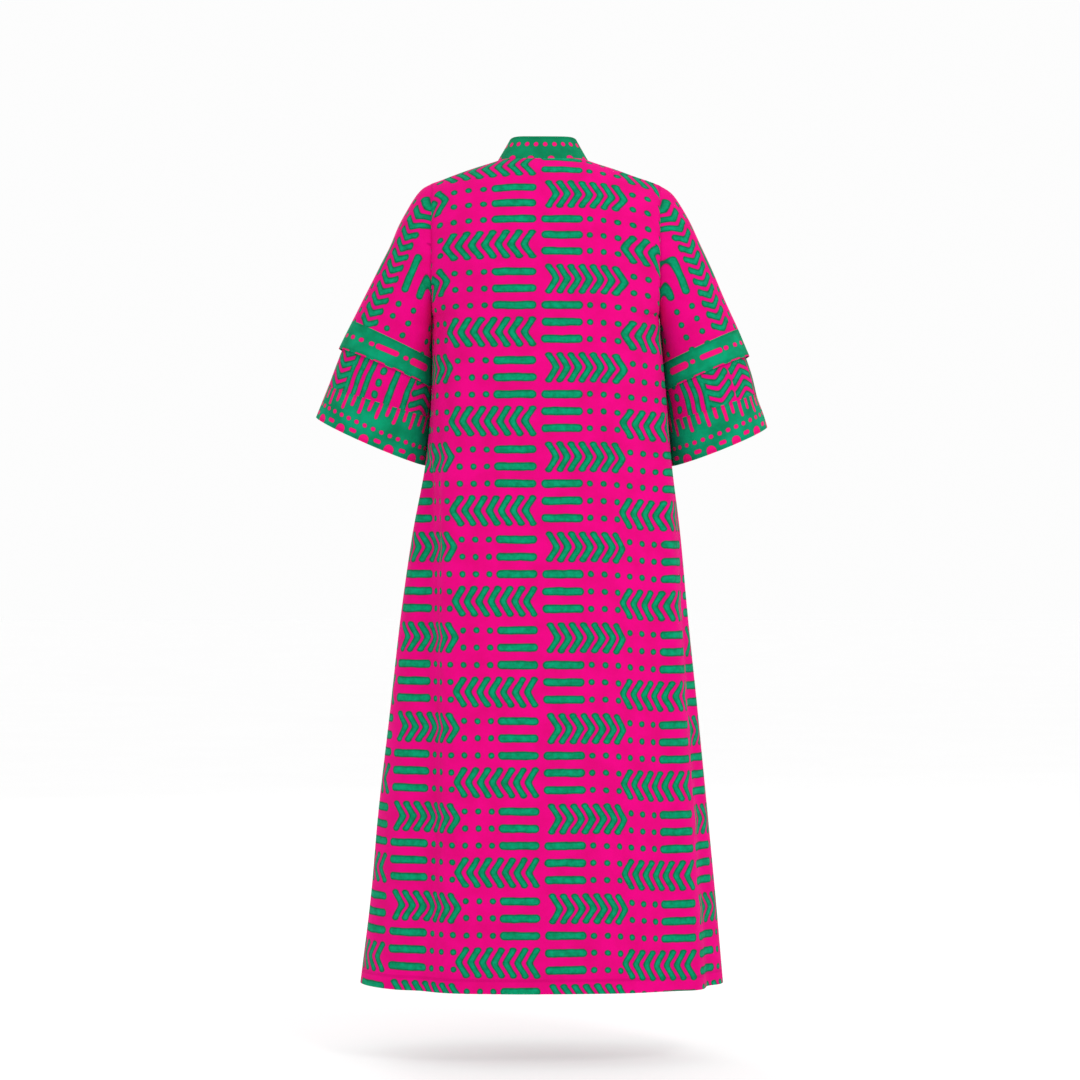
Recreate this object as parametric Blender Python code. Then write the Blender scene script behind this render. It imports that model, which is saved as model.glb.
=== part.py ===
"""Long kaftan with a stand collar and two-tier bell sleeves, hollow, in the shape that it takes when worn.

Metres, +Z up. The front faces -Y and the wearer's left is +X. The origin lies midway between the two points
where the shoulder seams meet the neckline. Every piece of cloth is a wall: its outer points come from the
sections below, and its inner points lie one cloth thickness further in.
"""

import math

import bmesh
import bpy
import numpy as np
from mathutils import Vector

CLOTH = 0.0015
COLLAR_CLOTH = 0.0024
SEAM_GAP = 0.0003

# Body below the underarm, a row for each level section.
# height, left half width, right half width, back depth, front depth, squareness of the corners
BODY_SECTIONS = (
    (-1.393, 0.310, 0.306, 0.165, 0.158, 2.10),
    (-1.234, 0.291, 0.292, 0.157, 0.150, 2.10),
    (-1.119, 0.281, 0.281, 0.150, 0.145, 2.15),
    (-0.935, 0.260, 0.263, 0.139, 0.137, 2.20),
    (-0.760, 0.240, 0.245, 0.129, 0.130, 2.30),
    (-0.629, 0.221, 0.233, 0.122, 0.127, 2.35),
    (-0.515, 0.200, 0.219, 0.118, 0.126, 2.40),
    (-0.396, 0.1895, 0.209, 0.118, 0.128, 2.40),
    (-0.263, 0.188, 0.197, 0.121, 0.130, 2.40),
)

# Largest hanging folds: a trough is negative, a ridge positive.
# panel, distance from the centre line at the underarm and at the hem, half width, depth at each fold level
FOLD_LEVELS = (-1.393, -1.000, -0.630, -0.263)
FOLDS = (
    ("back", 0.196, 0.208, 0.030, (-0.009, -0.015, -0.017, -0.004)),
    ("back", 0.146, 0.160, 0.036, (0.004, 0.006, 0.006, 0.001)),
    ("back", -0.030, -0.045, 0.060, (-0.005, -0.004, -0.003, 0.0)),
    ("back", -0.190, -0.250, 0.032, (0.012, 0.010, 0.006, 0.001)),
    ("back", -0.205, -0.287, 0.028, (-0.010, -0.008, -0.003, 0.0)),
    ("front", 0.132, 0.228, 0.038, (0.012, 0.010, 0.004, 0.0)),
    ("front", 0.095, 0.150, 0.034, (-0.013, -0.010, -0.005, 0.0)),
    ("front", 0.030, 0.055, 0.044, (0.008, 0.007, 0.003, 0.0)),
    ("front", -0.060, -0.082, 0.036, (-0.012, -0.009, -0.004, 0.0)),
    ("front", -0.112, -0.168, 0.036, (0.011, 0.009, 0.004, 0.0)),
    ("front", -0.165, -0.245, 0.034, (-0.010, -0.008, -0.004, 0.0)),
)
SIDE_HOLD = 0.055

# Shoulders, armholes and neckline. The shoulders are a dome whose ridge is the shoulder seam, and the
# neckline is cut out of it.
UNDERARM = -0.263
ARMHOLE_X = {"left": 0.188, "right": 0.197}
ARMHOLE_DEPTH = 0.066
ARMHOLE_REACH = 12
SHOULDER_SLOPE = 0.336
SHOULDER_ROUND = {"back": 2.8, "front": 1.78}
YOKE_FLATNESS = 3.0
YOKE_FLAT_FROM = 0.7
NECK_HALF_WIDTH = 0.078
NECK_DEPTH = {"back": 0.060, "front": 0.080}
NECK_START = 1 / 3
SLIT_HALF_GAP = 0.005

# Collar: its top edge, smaller than the neckline, and how that edge's height changes from front to back.
COLLAR_HALF_WIDTH = 0.058
COLLAR_DEPTH = {"back": 0.044, "front": 0.064}
COLLAR_HEIGHT = 0.033
COLLAR_SLOPE = 0.417
COLLAR_CURVE = -6.9

# Sleeves, a row for each ring from the armhole down: the ring's outermost and innermost points
# on each side, half its depth from front to back, how far its middle lies to the back, and how much
# lower its back hangs.
# left outer x, z, left inner x, z, right outer x, z, right inner x, z, half depth, middle, back drop
UPPER_RINGS = (
    (0.188, -0.037, 0.1880, -0.263, 0.197, -0.040, 0.1970, -0.263, 0.066, 0.000, 0.000),
    (0.207, -0.048, 0.1903, -0.2665, 0.217, -0.053, 0.1995, -0.267, 0.067, -0.001, 0.000),
    (0.224, -0.070, 0.1905, -0.271, 0.233, -0.073, 0.2003, -0.272, 0.068, -0.003, 0.000),
    (0.242, -0.104, 0.1905, -0.278, 0.252, -0.106, 0.2010, -0.280, 0.068, -0.006, 0.000),
    (0.262, -0.145, 0.1903, -0.287, 0.270, -0.145, 0.2018, -0.290, 0.068, -0.010, 0.000),
    (0.283, -0.188, 0.1900, -0.299, 0.290, -0.188, 0.2026, -0.303, 0.068, -0.014, 0.000),
    (0.304, -0.228, 0.1898, -0.315, 0.311, -0.236, 0.2034, -0.321, 0.068, -0.019, 0.000),
    (0.325, -0.269, 0.1896, -0.335, 0.333, -0.283, 0.2046, -0.343, 0.069, -0.024, 0.000),
    (0.337, -0.292, 0.1895, -0.359, 0.343, -0.306, 0.2061, -0.367, 0.070, -0.027, -0.001),
    (0.349, -0.316, 0.1893, -0.384, 0.353, -0.329, 0.2073, -0.391, 0.071, -0.031, -0.003),
)
LOWER_RINGS = (
    (0.356, -0.351, 0.1903, -0.408, 0.3575, -0.362, 0.2095, -0.416, 0.071, -0.035, 0.000),
    (0.367, -0.380, 0.1918, -0.434, 0.3655, -0.393, 0.2110, -0.441, 0.072, -0.038, 0.003),
    (0.378, -0.406, 0.1942, -0.475, 0.375, -0.421, 0.2130, -0.479, 0.073, -0.042, 0.006),
    (0.389, -0.432, 0.1970, -0.515, 0.384, -0.449, 0.2150, -0.516, 0.074, -0.046, 0.009),
)
UPPER_BAND_START = 7
TIER_START = 6
TIER_CLEARANCES = (0.0004, 0.0020, 0.0036, 0.0052)
TIER_BAND_START = 5

# How finely the walls are divided.
ACROSS = 36
UP_BODY = 11
UP_YOKE = 12
AROUND_SLEEVE = 2 * UP_YOKE
UP_COLLAR = 2

PINK = (0.965, 0.012, 0.274)
GREEN = (0.004, 0.325, 0.148)
COTTON_ROUGHNESS = 0.85


def clear_scene():
    for old in list(bpy.data.objects):
        bpy.data.objects.remove(old, do_unlink=True)


def cotton(name, colour):
    material = bpy.data.materials.new(name + "_cotton")
    material.use_nodes = True
    shader = material.node_tree.nodes["Principled BSDF"]
    shader.inputs["Base Color"].default_value = (*colour, 1.0)
    shader.inputs["Roughness"].default_value = COTTON_ROUGHNESS
    shader.inputs["Metallic"].default_value = 0.0
    return material


def through(places, values, place):
    """The value at a place, on a smooth curve through a table's rows."""
    places = np.asarray(places)
    values = np.asarray(values)
    slopes = np.gradient(values, places)
    row = int(np.clip(np.searchsorted(places, place) - 1, 0, len(places) - 2))
    span = places[row + 1] - places[row]
    part = min(max((place - places[row]) / span, 0.0), 1.0)
    low = values[row] * (1 + 2 * part) + slopes[row] * span * part
    high = values[row + 1] * (3 - 2 * part) - slopes[row + 1] * span * (1 - part)
    return float(low * (1 - part) ** 2 + high * part ** 2)


def ease(part):
    part = min(max(part, 0.0), 1.0)
    return part * part * (3 - 2 * part)


def body_section(height):
    """Left and right half widths, back and front depths and squareness of the body at a height."""
    heights = [row[0] for row in BODY_SECTIONS]
    return [through(heights, [row[k] for row in BODY_SECTIONS], height) for k in range(1, 6)]


def fold_depth(panel, turn, height, section):
    """How far the folds move a point of the panel out."""
    left, right, back, front, corner = section
    depth = back if panel == "back" else front
    seam_distance = min(turn, math.pi - turn) * (left + depth) / 2
    hold = ease(seam_distance / SIDE_HOLD)
    drop = (UNDERARM - height) / (UNDERARM - BODY_SECTIONS[0][0])
    total = 0.0
    for where, top_x, hem_x, half_width, depths in FOLDS:
        if where != panel:
            continue
        x = top_x + (hem_x - top_x) * drop
        half = left if x > 0 else right
        middle = math.acos(min(abs(x) / half, 1.0) ** (corner / 2))
        if x < 0:
            middle = math.pi - middle
        distance = (turn - middle) * (half + depth) / 2
        total += through(FOLD_LEVELS, depths, height) * math.exp(-(distance / half_width) ** 2)
    return total * hold


def body_point(panel, across, height):
    """An outer point below the underarm. Across runs from 0 at the left side seam to 1 at the right."""
    section = body_section(height)
    left, right, back, front, corner = section
    turn = math.pi * across
    half = left if across <= 0.5 else right
    depth = back if panel == "back" else front
    side = 1 if panel == "back" else -1
    reach = abs(math.cos(turn)) ** (2 / corner)
    bulge = abs(math.sin(turn)) ** (2 / corner)
    sign = 1 if across <= 0.5 else -1
    out = Vector((sign * reach ** (corner - 1) / half, side * bulge ** (corner - 1) / depth, 0))
    point = Vector((sign * half * reach, side * depth * bulge, height))
    if across in (0, 1):
        point.y = side * SEAM_GAP / 2
        return point
    return point + out.normalized() * fold_depth(panel, turn, height, section)


def ridge_height(x):
    """Height of the shoulder seam, and of the dome above the neck hole between the two seams."""
    if abs(x) >= NECK_HALF_WIDTH:
        return -SHOULDER_SLOPE * (abs(x) - NECK_HALF_WIDTH)
    return SHOULDER_SLOPE * (NECK_HALF_WIDTH ** 2 - x * x) / (2 * NECK_HALF_WIDTH)


def dome_depth(panel, x, lift):
    """How far back or forward the shoulder dome lies. Lift runs from 0 at the underarm to 1 at the ridge."""
    _, _, back, front, corner = body_section(UNDERARM)
    depth = back if panel == "back" else front
    rounding = SHOULDER_ROUND[panel]
    reach = min(abs(x) / ARMHOLE_X["left" if x > 0 else "right"], 1.0)
    closed = max(1 - reach ** corner, 0.0) ** (1 / corner)
    flat = 1 - reach ** YOKE_FLATNESS
    weight = closed + (flat - closed) * ease(lift / YOKE_FLAT_FROM)
    oval = 2 * math.sqrt(max(lift * (1 - lift), 0.0))
    inner = ease(2 * lift) if lift < 0.5 else oval
    edge = ARMHOLE_DEPTH * (inner + (oval - inner) * reach ** ARMHOLE_REACH)
    return edge * (1 - weight) + weight * depth * max(1 - lift ** rounding, 0.0) ** (1 / rounding)


def neckline_lift(panel, x, depth):
    """Where the dome reaches the neckline's depth, found by halving the interval."""
    low = 0.5
    high = 1.0
    for _ in range(40):
        middle = (low + high) / 2
        if dome_depth(panel, x, middle) > depth:
            low = middle
        else:
            high = middle
    return high


def neckline_point(angle, slit_side=0):
    """A point of the neckline. The angle is 0 at the left neck point and a quarter turn at the back."""
    panel = "back" if math.sin(angle) > 0 else "front"
    x = NECK_HALF_WIDTH * math.cos(angle)
    depth = NECK_DEPTH[panel] * abs(math.sin(angle))
    lift = neckline_lift(panel, x, depth)
    y = depth if panel == "back" else -depth
    height = UNDERARM + (ridge_height(x) - UNDERARM) * lift
    return Vector((slit_side * SLIT_HALF_GAP if slit_side else x, y, height))


def collar_top_point(angle, slit_side=0):
    depth = COLLAR_DEPTH["back"] if math.sin(angle) > 0 else COLLAR_DEPTH["front"]
    x = COLLAR_HALF_WIDTH * math.cos(angle) if slit_side == 0 else slit_side * SLIT_HALF_GAP
    y = depth * math.sin(angle)
    return Vector((x, y, COLLAR_HEIGHT + COLLAR_SLOPE * y + COLLAR_CURVE * y * y))


def neck_angle(panel, across):
    side = 1 if panel == "back" else -1
    return side * math.pi * (across - NECK_START) / (1 - 2 * NECK_START)


def in_neck(across):
    return NECK_START - 1e-9 <= across <= 1 - NECK_START + 1e-9


def top_edge(panel, across):
    """Distance of the panel's top edge from the centre line, and its lift, which is 1 on the shoulder seam."""
    if in_neck(across):
        angle = neck_angle(panel, across)
        x = NECK_HALF_WIDTH * math.cos(angle)
        return x, neckline_lift(panel, x, NECK_DEPTH[panel] * abs(math.sin(angle)))
    low = body_point(panel, across, UNDERARM).x
    corner_x = abs(body_point(panel, NECK_START if across < 0.5 else 1 - NECK_START, UNDERARM).x)
    armhole_x = ARMHOLE_X["left" if across < 0.5 else "right"]
    part = (abs(low) - corner_x) / (armhole_x - corner_x)
    return math.copysign(NECK_HALF_WIDTH + (armhole_x - NECK_HALF_WIDTH) * part, low), 1.0


def yoke_point(panel, across, rise_turn, slit_side=0):
    """An outer point above the underarm. The rise turn runs from 0 at the underarm to pi at the top edge."""
    rise = (1 - math.cos(rise_turn)) / 2
    side = 1 if panel == "back" else -1
    low = body_point(panel, across, UNDERARM)
    top_x, top_lift = top_edge(panel, across)
    x = low.x + (top_x - low.x) * rise ** 2
    lift = rise * top_lift
    fold = (low.y - side * dome_depth(panel, low.x, 0)) * (1 - ease(rise))
    y = side * max(dome_depth(panel, x, lift), SEAM_GAP / 2) + fold
    z = UNDERARM + (ridge_height(x) - UNDERARM) * lift
    if across in (0, 1):
        x -= math.copysign(SEAM_GAP / 2, x)
        y = side * max(ARMHOLE_DEPTH * math.sin(rise_turn), SEAM_GAP / 2)
    if slit_side:
        x = slit_side * SLIT_HALF_GAP * rise
    return Vector((x, y, z))


def grid_normals(rows):
    """The outward direction at each point of a grid whose rows run left to right and whose columns go up."""
    points = np.array([[tuple(point) for point in row] for row in rows])
    along = np.gradient(points, axis=1)
    up = np.gradient(points, axis=0)
    normals = np.cross(up, along)
    lengths = np.linalg.norm(normals, axis=2, keepdims=True)
    return normals / lengths


def wall(name, outer, inner, faces, colour, collection):
    """A closed wall of cloth between outer and inner points, with the faces of its outer side given."""
    count = len(outer)
    edge_uses = {}
    for face in faces:
        for a, b in zip(face, face[1:] + face[:1]):
            edge_uses.setdefault(frozenset((a, b)), []).append((a, b))
    inside = [tuple(count + k for k in reversed(face)) for face in faces]
    rim = [(b, a, a + count, b + count) for uses in edge_uses.values() if len(uses) == 1 for a, b in uses]
    mesh = bpy.data.meshes.new(name)
    mesh.from_pydata([tuple(p) for p in outer + inner], [], [tuple(f) for f in faces] + inside + rim)
    cleaner = bmesh.new()
    cleaner.from_mesh(mesh)
    bmesh.ops.recalc_face_normals(cleaner, faces=cleaner.faces)
    cleaner.to_mesh(mesh)
    cleaner.free()
    mesh.shade_smooth()
    mesh.set_sharp_from_angle(angle=math.radians(50))
    mesh.materials.append(cotton(name, colour))
    piece = bpy.data.objects.new(name, mesh)
    collection.objects.link(piece)


def make_panel(panel, collection):
    """The whole back or front, from hem to neckline. The front has a slit down from its neckline."""
    side = 1 if panel == "back" else -1
    hem = BODY_SECTIONS[0][0]
    shares = [k / ACROSS for k in range(ACROSS + 1)]
    centre = ACROSS // 2

    def rows_for(slit_side):
        body = [[body_point(panel, share, hem + (UNDERARM - hem) * k / UP_BODY) for share in shares]
                for k in range(UP_BODY)]
        yoke = [[yoke_point(panel, share, math.pi * k / UP_YOKE, slit_side if n == centre and k > 0 else 0)
                 for n, share in enumerate(shares)] for k in range(UP_YOKE + 1)]
        return body + yoke

    outer = []
    inner = []
    numbers = {}
    slit_sides = (0,) if panel == "back" else (1, -1)
    for slit_side in slit_sides:
        rows = rows_for(slit_side)
        half_ranges = {0: (0, ACROSS), 1: (0, centre), -1: (centre, ACROSS)}
        first, last = half_ranges[slit_side]
        part = [row[first:last + 1] for row in rows]
        normals = grid_normals(part) * -side
        for r, row in enumerate(part):
            for c, point in enumerate(row):
                column = c + first
                open_slit = slit_side if column == centre and r > UP_BODY else 0
                key = (r, column, open_slit)
                if key in numbers:
                    continue
                numbers[key] = len(outer)
                normal = Vector(normals[r][c])
                on_side = column in (0, ACROSS)
                rise = (r - UP_BODY) / UP_YOKE
                if on_side and r <= UP_BODY:
                    normal.y = 0
                elif on_side:
                    normal.x *= 1 - ease((rise - 0.45) / 0.3)
                if r == len(rows) - 1 and in_neck(shares[column]):
                    angle = neck_angle(panel, shares[column])
                    normal = collar_top_point(angle, open_slit) - neckline_point(angle, open_slit)
                elif r == len(rows) - 1:
                    normal.y = 0
                outer.append(point)
                inner.append(point - normal.normalized() * CLOTH)

    faces = []
    for r in range(UP_BODY + UP_YOKE):
        for column in range(ACROSS):
            slit_side = 0 if panel == "back" else (1 if column < centre else -1)

            def number(row, col):
                open_slit = slit_side if col == centre and row > UP_BODY else 0
                return numbers[(row, col, open_slit)]

            faces.append([number(r, column), number(r + 1, column),
                          number(r + 1, column + 1), number(r, column + 1)])
    wall(panel + "_panel", outer, inner, faces, PINK, collection)


def make_collar(collection):
    """A doubled band that stands on the neckline and leans in, open at the centre front."""
    around = ACROSS // 3 * 2
    step = 2 * math.pi / around
    angles = [-math.pi / 2 + step * k for k in range(around + 1)]
    sides = [1] + [0] * (around - 1) + [-1]
    rows = []
    for level in range(UP_COLLAR + 2):
        row = []
        for angle, slit_side in zip(angles, sides):
            foot = neckline_point(angle, slit_side)
            top = collar_top_point(angle, slit_side)
            below = CLOTH / (top - foot).length
            share = -below if level == 0 else (level - 1) / UP_COLLAR
            row.append(foot + (top - foot) * share)
        rows.append(row)
    normals = -grid_normals(rows)
    outer = []
    inner = []
    for r, row in enumerate(rows):
        for c, point in enumerate(row):
            normal = Vector(normals[r][c])
            outer.append(point - normal * SEAM_GAP)
            inner.append(point - normal * (SEAM_GAP + COLLAR_CLOTH))
    width = around + 1
    faces = [[r * width + c, r * width + c + 1, (r + 1) * width + c + 1, (r + 1) * width + c]
             for r in range(UP_COLLAR + 1) for c in range(around)]
    wall("collar", outer, inner, faces, GREEN, collection)


def sleeve_ring(row, name):
    """The outer points of one ring, from its innermost point round the back, the outside and the front."""
    sign = 1 if name == "left" else -1
    first = 0 if name == "left" else 4
    outer_x, outer_z, inner_x, inner_z = row[first:first + 4]
    half_depth, middle, back_drop = row[8:]
    centre = Vector(((outer_x + inner_x) / 2 * sign, middle, (outer_z + inner_z) / 2))
    reach = Vector(((outer_x - inner_x) / 2 * sign, 0, (outer_z - inner_z) / 2))
    back = Vector((0, half_depth, -back_drop))
    turns = [2 * math.pi * k / AROUND_SLEEVE for k in range(AROUND_SLEEVE)]
    return [centre - reach * math.cos(turn) + back * math.sin(turn) for turn in turns]


def tube_normals(rings, sign):
    """The outward direction at each point of a stack of closed rings."""
    points = np.array([[tuple(point) for point in ring] for ring in rings])
    around = np.roll(points, -1, axis=1) - np.roll(points, 1, axis=1)
    down = np.gradient(points, axis=0)
    normals = np.cross(around, down) * sign
    return normals / np.linalg.norm(normals, axis=2, keepdims=True)


def tube_wall(name, rings, normals, first, last, colour, collection):
    """One tube of a sleeve, from one ring to another, with half a seam gap taken off each end that is sewn."""
    outer = []
    inner = []
    for r in range(first, last + 1):
        for k in range(AROUND_SLEEVE):
            point = Vector(rings[r][k])
            normal = Vector(normals[r][k])
            if r == first and first > 0:
                point += (Vector(rings[r + 1][k]) - point).normalized() * SEAM_GAP / 2
            if r == last and last < len(rings) - 1:
                point += (Vector(rings[r - 1][k]) - point).normalized() * SEAM_GAP / 2
            outer.append(point)
            inner.append(point - normal * CLOTH)
    n = AROUND_SLEEVE
    faces = [[r * n + k, r * n + (k + 1) % n, (r + 1) * n + (k + 1) % n, (r + 1) * n + k]
             for r in range(last - first) for k in range(n)]
    wall(name, outer, inner, faces, colour, collection)


def make_sleeve(name, collection):
    """The upper tier with its band, and the lower tier, sewn inside it, with its own band."""
    sign = 1 if name == "left" else -1
    upper = [sleeve_ring(row, name) for row in UPPER_RINGS]
    for point in upper[0]:
        point.x += sign * SEAM_GAP / 2
    normals = tube_normals(upper, sign)
    for k in range(AROUND_SLEEVE):
        rise = (1 - math.cos(2 * math.pi * k / AROUND_SLEEVE)) / 2
        rise_share = math.acos(1 - 2 * rise) / math.pi
        normal = Vector(normals[0][k])
        normal.x *= 1 - ease((rise_share - 0.45) / 0.3)
        normals[0][k] = normal.normalized()
    last = len(UPPER_RINGS) - 1
    tube_wall("sleeve_" + name, upper, normals, 0, UPPER_BAND_START, PINK, collection)
    tube_wall("sleeve_band_" + name, upper, normals, UPPER_BAND_START, last, GREEN, collection)

    lower = []
    for clearance, ring, ring_normals in zip(TIER_CLEARANCES, upper[TIER_START:], normals[TIER_START:]):
        insets = [CLOTH + SEAM_GAP + clearance * (0.65 - 0.35 * math.cos(2 * math.pi * k / AROUND_SLEEVE))
                  for k in range(AROUND_SLEEVE)]
        lower.append([point - Vector(normal) * inset for point, normal, inset in zip(ring, ring_normals, insets)])
    lower += [sleeve_ring(row, name) for row in LOWER_RINGS]
    lower_normals = tube_normals(lower, sign)
    last = len(lower) - 1
    tube_wall("tier_" + name, lower, lower_normals, 0, TIER_BAND_START, PINK, collection)
    tube_wall("tier_band_" + name, lower, lower_normals, TIER_BAND_START, last, GREEN, collection)


clear_scene()
kaftan = bpy.data.collections.new("long_kaftan")
bpy.context.scene.collection.children.link(kaftan)
make_panel("back", kaftan)
make_panel("front", kaftan)
make_collar(kaftan)
make_sleeve("left", kaftan)
make_sleeve("right", kaftan)
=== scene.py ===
"""Looks of a long printed cotton kaftan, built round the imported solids. Metres, +Z up, the front faces -Y."""

import math

import bpy
import numpy as np
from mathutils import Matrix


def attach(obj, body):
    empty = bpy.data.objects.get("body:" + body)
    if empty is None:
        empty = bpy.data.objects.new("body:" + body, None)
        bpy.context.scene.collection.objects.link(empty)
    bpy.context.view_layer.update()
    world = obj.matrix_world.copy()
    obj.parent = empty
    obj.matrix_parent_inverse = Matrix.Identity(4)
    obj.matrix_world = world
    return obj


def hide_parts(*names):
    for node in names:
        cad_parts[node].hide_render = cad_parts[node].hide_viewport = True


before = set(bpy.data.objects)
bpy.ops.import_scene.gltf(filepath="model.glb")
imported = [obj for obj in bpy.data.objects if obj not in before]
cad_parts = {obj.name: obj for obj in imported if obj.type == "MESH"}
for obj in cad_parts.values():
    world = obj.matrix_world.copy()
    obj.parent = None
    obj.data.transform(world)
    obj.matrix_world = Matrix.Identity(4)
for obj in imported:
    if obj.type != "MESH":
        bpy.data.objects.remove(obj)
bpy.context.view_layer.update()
bpy.ops.object.select_all(action="DESELECT")


# Back and front: each is one width of printed cotton, cut flared, with the side seams and the shoulder seams
# sewn and the hem turned up once. The cloth hangs from the shoulders, so its folds run down and fade at the hem.

# The cloth's thickness, drawn at about twice the real one, and the gap between two pieces at their seam.
CLOTH = 0.0009
SEAM_GAP = 0.00004
# Points of one piece that lie closer than this are one point.
SAME_POINT = 0.00002

# height, left half width, right half width, back depth, front depth, squareness of the corners
BODY_SECTIONS = (
    (-1.393, 0.310, 0.306, 0.165, 0.158, 2.10),
    (-1.234, 0.291, 0.292, 0.157, 0.150, 2.10),
    (-1.119, 0.281, 0.281, 0.150, 0.145, 2.15),
    (-0.935, 0.260, 0.263, 0.139, 0.137, 2.20),
    (-0.760, 0.240, 0.245, 0.129, 0.130, 2.30),
    (-0.629, 0.221, 0.233, 0.122, 0.127, 2.35),
    (-0.515, 0.200, 0.219, 0.118, 0.126, 2.40),
    (-0.396, 0.1895, 0.209, 0.118, 0.128, 2.40),
    (-0.263, 0.188, 0.197, 0.121, 0.130, 2.40),
)
FOLD_LEVELS = (-1.393, -1.000, -0.630, -0.263)
# distance from the centre line at the underarm and at the hem, half width, depth at each fold level
BACK_FOLDS = (
    (0.196, 0.208, 0.030, (-0.009, -0.015, -0.017, -0.004)),
    (0.146, 0.160, 0.036, (0.004, 0.006, 0.006, 0.001)),
    (-0.030, -0.045, 0.060, (-0.005, -0.004, -0.003, 0.0)),
    (-0.190, -0.250, 0.032, (0.012, 0.010, 0.006, 0.001)),
    (-0.205, -0.287, 0.028, (-0.010, -0.008, -0.003, 0.0)),
)
FRONT_FOLDS = (
    (0.132, 0.228, 0.038, (0.012, 0.010, 0.004, 0.0)),
    (0.095, 0.150, 0.034, (-0.013, -0.010, -0.005, 0.0)),
    (0.030, 0.055, 0.044, (0.008, 0.007, 0.003, 0.0)),
    (-0.060, -0.082, 0.036, (-0.012, -0.009, -0.004, 0.0)),
    (-0.112, -0.168, 0.036, (0.011, 0.009, 0.004, 0.0)),
    (-0.165, -0.245, 0.034, (-0.010, -0.008, -0.004, 0.0)),
)
# The side seams hold the cloth, so folds and creases fade in over these distances from them.
SIDE_HOLD = 0.055
SEAM_HOLD = 0.03
HEM = -1.393
UNDERARM = -0.263
# The armholes, 1 for the left and -1 for the right, and the shoulders and neckline between them.
ARMHOLE_X = {1: 0.188, -1: 0.197}
ARMHOLE_DEPTH = 0.066
SHOULDER_SLOPE = 0.336
SHOULDER_ROUND = {"back": 2.8, "front": 1.78}
NECK_HALF_WIDTH = 0.078
NECK_DEPTH = {"back": 0.060, "front": 0.080}
# The neckline takes the middle third of each panel's points.
NECK_START = 1 / 3
SLIT_HALF_GAP = 0.005

COLUMNS = 144
BODY_ROWS = 132
YOKE_ROWS = 60
# How far the print follows the cloth up over the shoulders, from 0 for level rows to 1 for the cloth's own.
YOKE_GRAIN = 0.8
# In folds and round the sides the motifs are drawn up to this much wider, so that they don't crowd there.
PRINT_STRETCH = 1.12
PRINT_MIDDLE = 0.0068
# How the print lies on the hanging back: level, width of its left half as a share, what the left fold takes up,
# how much faster it runs past the right fold's start, its shift to the right, its drop.
BACK_PRINT = (
    (-1.393, 0.962, 0.0060, 0.170, 0.0066, -0.0120),
    (-1.275, 0.966, 0.0060, 0.172, 0.0060, -0.0096),
    (-1.125, 0.970, 0.0062, 0.176, 0.0047, -0.0058),
    (-0.975, 0.975, 0.0085, 0.178, 0.0036, -0.0030),
    (-0.822, 0.981, 0.0090, 0.135, 0.0024, -0.0016),
    (-0.669, 0.988, 0.0080, 0.090, 0.0011, -0.0008),
    (-0.545, 1.010, 0.0020, 0.045, 0.0000, 0.0000),
    (-0.400, 1.040, 0.0000, -0.040, 0.0000, 0.0026),
    (-0.295, 1.058, 0.0000, -0.130, 0.0000, 0.0050),
    (-0.200, 1.075, 0.0000, -0.130, 0.0000, 0.0080),
    (-0.070, 1.090, 0.0000, -0.100, 0.0000, 0.0145),
    (0.010, 1.090, 0.0000, -0.100, 0.0000, 0.0145),
)
# From the centre line: the left fold's start and width, the right one's start, and the start, width and height
# of the rows' rise on the right.
LEFT_FOLD = (0.155, 0.045)
RIGHT_FOLD_START = 0.12
RIGHT_RISE = (0.09, 0.12, 0.009)

# Small soft creases, across and up on the cloth from its centre line at the underarm's level.
# start across, start up, end across, end up, half width, depth
BACK_CREASES = (
    (-0.178, 0.010, -0.150, -0.210, 0.012, -0.0030),
    (-0.160, -0.020, -0.110, -0.130, 0.014, -0.0022),
    (0.182, 0.015, 0.160, -0.150, 0.012, -0.0026),
    (0.165, -0.030, 0.120, -0.110, 0.013, 0.0018),
    (-0.060, -0.420, -0.085, -0.700, 0.022, -0.0020),
    (0.070, -0.520, 0.095, -0.860, 0.026, -0.0022),
    (0.020, -0.740, 0.030, -1.080, 0.030, 0.0020),
    (-0.130, -0.700, -0.160, -1.060, 0.026, 0.0022),
    (-0.182, -0.190, -0.194, -0.420, 0.014, -0.0062),
    (-0.194, -0.380, -0.206, -1.060, 0.018, -0.0054),
    (0.204, -0.160, 0.232, -0.620, 0.013, 0.0034),
    (0.232, -0.560, 0.262, -1.060, 0.015, 0.0036),
    (0.188, -0.300, 0.214, -0.980, 0.014, -0.0026),
)
FRONT_CREASES = (
    (0.150, 0.120, 0.090, 0.020, 0.014, -0.0022),
    (-0.150, 0.120, -0.085, 0.015, 0.014, -0.0022),
    (0.175, 0.000, 0.130, -0.160, 0.013, -0.0028),
    (-0.178, 0.005, -0.140, -0.170, 0.013, -0.0026),
    (0.010, -0.300, 0.020, -0.620, 0.024, -0.0020),
    (-0.020, -0.620, -0.030, -1.000, 0.028, 0.0022),
)
PANEL_UNEVENNESS = 0.0009
# The steps that find the neckline, and the angle between faces up to which a piece looks smooth.
HALVINGS = 40
SMOOTH_ANGLE = 40
# Each panel laid flat: its greatest width and length, and its area.
PANEL_CUTS = {"back_panel": ((0.776, 1.456), 0.842), "front_panel": ((0.774, 1.441), 0.829)}


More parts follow.
